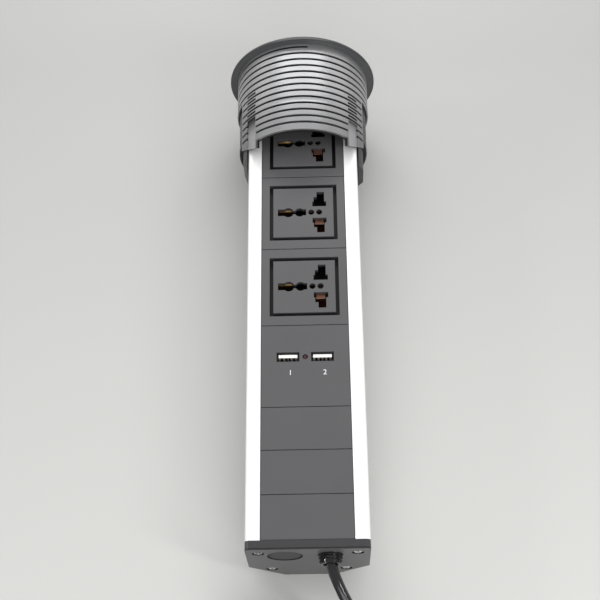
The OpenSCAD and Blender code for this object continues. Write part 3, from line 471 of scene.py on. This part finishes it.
# Painted light and shade: the bare plastic is paler on the flange than in the grooves and the bore.
flange = collar_lacquer.mix(collar_lacquer.radius_ramp(*RIM_RADII), FLANGE_LIT_GREY, RIM_GREY)
bare = collar_lacquer.mix(on_flange, BARE_SHADED_BLACK, flange)
collar_colour = collar_lacquer.mix(coated, bare, lacquer)
collar_lacquer.set(Base_Color=collar_colour, Metallic=coated * COAT_METALLIC, Roughness=0.36 + flakes * 0.1)
collar_lacquer.bump(flakes, 0.3, FLAKE_DEPTH, collar_lacquer.soft_edge(0.2))
dress(collar_lacquer, "collar_sleeve", "top_lid")
print("dressed so far:", len(dressed))

# %% [markdown]
# ### Metals
# The profile is drawn aluminium: its die leaves faint lines along the tower, and its satin anodised skin
# scatters much of the light, so it is only partly metallic. The line and neutral contacts are dulled copper
# strip and the earth contacts a golden bronze. Screws are bright plated steel and the port shells darker.
# Stretched noise gives the lines of the die, where an anisotropic shader would need a map of directions.

# %% Describe a metal
LINE_SCALE = 60.0
PATCH_SCALE = 30.0
LINE_STRENGTH = 0.15
LINE_DEPTH = 0.02
DRAWN = (60, 0.6, 60)
EVEN = (20, 20, 20)


def metal(name, colour, duller, roughness, spread, edge, stretch=EVEN, metallic=1.0):
    """A metal whose gloss varies in lines or specks, with edges rounded in millimetres."""
    finish = Finish(name, Metallic=metallic)
    lines = finish.noise(LINE_SCALE, detail=3.0, roughness=0.6, stretch=stretch)
    patches = finish.noise(PATCH_SCALE)
    finish.set(Base_Color=finish.mix(patches, colour, duller), Roughness=roughness + lines * spread)
    finish.bump(lines, LINE_STRENGTH, LINE_DEPTH, finish.soft_edge(edge))
    return finish


print("stretch of the drawn lines:", DRAWN)

# %% Make the metals
profile_metal = metal(
    "profile_metal", (0.9, 0.9, 0.905), (0.87, 0.87, 0.875),
    roughness=0.26, spread=0.12, edge=0.3, stretch=DRAWN, metallic=0.35,
)
screw_metal = metal(
    "screw_metal", (0.78, 0.78, 0.77), (0.7, 0.7, 0.69), roughness=0.14, spread=0.1, edge=0.25
)
shell_metal = metal(
    "shell_metal", (0.13, 0.13, 0.13), (0.09, 0.09, 0.09), roughness=0.34, spread=0.12, edge=0.08
)
copper = metal("copper", (0.5, 0.27, 0.2), (0.4, 0.2, 0.14), roughness=0.36, spread=0.16, edge=0.15)
bronze = metal("bronze", (0.3, 0.19, 0.08), (0.2, 0.12, 0.05), roughness=0.4, spread=0.14, edge=0.15)
brass = metal("brass", (0.8, 0.62, 0.32), (0.7, 0.5, 0.24), roughness=0.24, spread=0.14, edge=0.25)
leaf_metal = metal("leaf_metal", (0.3, 0.22, 0.1), (0.22, 0.15, 0.07), roughness=0.35, spread=0.1, edge=0.05)
dress(profile_metal, "tower_profile")
dress(screw_metal, "top_cap_screws", "bottom_cap_screws")
dress(shell_metal, "port_shell_left", "port_shell_right")
dress(copper, *[f"outlet_{i}_{pole}" for i in OUTLETS for pole in ("line", "neutral")])
dress(bronze, *[f"outlet_{i}_earth" for i in OUTLETS])
dress(brass, "line_busbar", "neutral_busbar", "earth_busbar", "plug_power_pins", "plug_earth_pin")
dress(leaf_metal, "port_contacts_left", "port_contacts_right")
print("dressed so far:", len(dressed))

# %% [markdown]
# ### Small parts
# The ports' tongues are ivory plastic, the indicator a dark red lens, the circuit board green lacquer and
# the fuse cover red. All of them are moulded or coated, so the plastic from above serves them too. The
# cord's sheath is black and rather glossy, with a faint drag of the extruder.

# %% Make the coloured plastics
tongue_plastic = moulded(
    "tongue_plastic", (0.82, 0.81, 0.79), (0.88, 0.87, 0.85),
    roughness=0.4, grain=0.01, grain_size=0.5, edge=0.1,
)
lens_red = moulded(
    "lens_red", (0.03, 0.006, 0.01), (0.05, 0.01, 0.016),
    roughness=0.36, grain=0.005, grain_size=0.5, edge=0.1,
)
board_green = moulded(
    "board_green", (0.02, 0.12, 0.05), (0.03, 0.17, 0.07),
    roughness=0.3, grain=0.01, grain_size=0.8, edge=0.1,
)
fuse_red = moulded(
    "fuse_red", (0.2, 0.025, 0.02), (0.26, 0.035, 0.03),
    roughness=0.42, grain=0.03, grain_size=0.6, edge=0.3,
)
dress(tongue_plastic, "port_tongue_left", "port_tongue_right")
dress(lens_red, "indicator")
dress(board_green, "circuit_board")
dress(fuse_red, "plug_fuse_cover")
print("dressed so far:", len(dressed))

# %% Make the cord's sheath
DRAG_SCALE = 420.0
DRAG_DEPTH = 0.03
sheath = Finish("sheath")
drag = sheath.noise(DRAG_SCALE)
sheath_colour = sheath.mix(drag, (0.009, 0.009, 0.01), (0.014, 0.014, 0.016))
sheath.set(Base_Color=sheath_colour, Roughness=0.1 + drag * 0.06)
sheath.bump(drag, 0.06, DRAG_DEPTH)
dress(sheath, cord)
print("finishes so far:", len(Finish.made))

# %% [markdown]
# ## Printed numbers
# Under each charging port stands a small white number. It could be a picture on the plate, but a thin mesh
# stays sharp from close by. Each number is set as text, turned into a mesh at the origin, and then its
# points are moved to the plate's front. A figure is lower than the size that Blender gives to its font.

# %% Print the port numbers
PRINT_HEIGHT = 3.2
PRINT_LIFT = 0.02
PRINT_DROP = 4.7
FONT_FACTOR = 1.4
PRINT_PLACES = {"1": -8.8, "2": 11.5}
plate_low, plate_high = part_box("port_plate")
plate_middle = (plate_low.y + plate_high.y) / 2
ink = moulded(
    "ink_white", (0.66, 0.66, 0.65), (0.74, 0.74, 0.73),
    roughness=0.6, grain=0.005, grain_size=0.3, edge=0.02,
)
for number, x in PRINT_PLACES.items():
    letters = bpy.data.curves.new("print_" + number, "FONT")
    letters.body = number
    letters.size = PRINT_HEIGHT * MM * FONT_FACTOR
    letters.align_x = letters.align_y = "CENTER"
    letters.extrude = PRINT_LIFT * MM
    text = bpy.data.objects.new("text_" + number, letters)
    mesh = bpy.data.meshes.new_from_object(text)
    bpy.data.objects.remove(text)
    mesh.transform(Matrix.Translation(Vector((x * MM, plate_middle - PRINT_DROP * MM, plate_high.z))))
    printed = bpy.data.objects.new("port_number_" + number, mesh)
    scene.collection.objects.link(printed)
    dress(ink, printed)
    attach(printed, "tower")
print("numbers printed:", ", ".join(PRINT_PLACES))

# %% [markdown]
# ## Table
# The object lies on its back, so the table touches the flange's rim and the foot of the bottom cap and is a
# little out of square with the tower. One large square is enough for it. The lamp behind the collar makes
# the far side of the table brighter, so its board is darker there, and so it is under the lamp in front.
# Well away from the object it is paler, so that the floor stays pale from every side.

# %% Lay the table
TABLE_HALF = 4.0
TABLE_GAP = 0.1
BOARD_FADE = (-380, 60)
OUTSKIRTS = (450, 1500)
BOARD_CENTRE = mm(0, -160, 0)
NEAR_GREYS = ((0.495, 0.495, 0.482), (0.515, 0.515, 0.501))
FAR_GREYS = ((0.335, 0.335, 0.326), (0.355, 0.355, 0.346))
OUTER_GREY = (0.86, 0.86, 0.845)
UNDER_LAMP = (250, 900)
LAMP_SPOT = mm(100, -1300, 0)
LAMP_GREY = (0.36, 0.36, 0.353)
MOTTLE_SCALE = 2.5
table_mesh = bpy.data.meshes.new("table")
table_shape = bmesh.new()
bmesh.ops.create_grid(table_shape, x_segments=1, y_segments=1, size=TABLE_HALF)
bmesh.ops.rotate(table_shape, verts=table_shape.verts, matrix=Matrix.Rotation(-TABLE_TILT, 3, "X"))
bmesh.ops.translate(table_shape, verts=table_shape.verts, vec=mm(0, 0, -FLANGE_RADIUS - TABLE_GAP))
table_shape.to_mesh(table_mesh)
table_shape.free()
table = bpy.data.objects.new("table", table_mesh)
scene.collection.objects.link(table)
board = Finish("table_board", Roughness=0.7)
mottle = board.noise(MOTTLE_SCALE)
board_near = board.mix(mottle, *NEAR_GREYS)
board_far = board.mix(mottle, *FAR_GREYS)
board_colour = board.mix(board.ramp("Y", *BOARD_FADE), board_near, board_far)
outskirts = board.distance_ramp(*OUTSKIRTS, board.place((1, 1, 0), -BOARD_CENTRE))
board_colour = board.mix(outskirts, board_colour, OUTER_GREY)
under_lamp = board.distance_ramp(*UNDER_LAMP, board.place((1, 1, 0), -LAMP_SPOT))
board.set(Base_Color=board.mix(under_lamp, LAMP_GREY, board_colour))
dress(board, table)
print("table:", 2 * TABLE_HALF, "m wide,", len(table_mesh.polygons), "face")

# %% [markdown]
# ## Light
# A large lamp hangs over the object. It isn't mirrored, because its image would wash out the plates. A
# small one close behind the collar gives the lands their bright band. Weak lamps at both sides, one in front
# of the foot and an even pale sky fill the shadows. Two small lamps make the glints on the gland and the
# cord. Point lamps would be simpler, but rectangles give the soft shadows of a studio.

# %% Hang the lamps
def softbox(name, place, aim, width, height, power, mirrored=True):
    """A rectangular lamp, placed and sized in metres, with its power in watts."""
    lamp = bpy.data.lights.new(name, "AREA")
    lamp.shape = "RECTANGLE"
    lamp.size = width
    lamp.size_y = height
    lamp.energy = power
    holder = bpy.data.objects.new(name, lamp)
    holder.location = place
    holder.visible_glossy = mirrored
    holder.rotation_euler = (Vector(aim) - Vector(place)).to_track_quat("-Z", "Y").to_euler()
    scene.collection.objects.link(holder)


MIDDLE = mm(0, -160, 0)
FOOT = mm(0, -330, 0)
COLLAR = mm(0, -30, 0)
softbox("key", (0.14, -0.05, 1.2), MIDDLE, width=1.5, height=1.2, power=8.9, mirrored=False)
softbox("back", (0.0, 0.41, 0.36), COLLAR, width=0.6, height=0.18, power=2.3)
softbox("left_back", (-1.15, 0.5, 0.55), MIDDLE, width=0.9, height=0.8, power=2.2)
softbox("right_back", (1.15, 0.5, 0.55), MIDDLE, width=0.9, height=0.8, power=2.2)
softbox("front_fill", (0.1, -1.3, 0.7), FOOT, width=1.2, height=0.6, power=7.0)
softbox("spark_left", (-0.83, -0.08, 0.49), FOOT, width=0.1, height=0.1, power=1.0)
softbox("spark_right", (0.67, -0.61, 0.71), FOOT, width=0.1, height=0.3, power=2.0)
print("lamps:", len(bpy.data.lights))

# %% Spread the sky
SKY_WHITE = (1.0, 1.0, 1.0, 1.0)
SKY_STRENGTH = 0.5
sky = bpy.data.worlds.new("sky")
sky.use_nodes = True
sky_light = sky.node_tree.nodes["Background"]
sky_light.inputs["Color"].default_value = SKY_WHITE
sky_light.inputs["Strength"].default_value = SKY_STRENGTH
scene.world = sky
scene.view_settings.view_transform = "Standard"
print("sky strength:", SKY_STRENGTH)

# %% [markdown]
# ## Last update
# The finishes and the cord's sheath should leave the object's size as the CAD model has it. At the end the
# view layer is brought up to date.

# %% Update the view layer
bpy.context.view_layer.update()
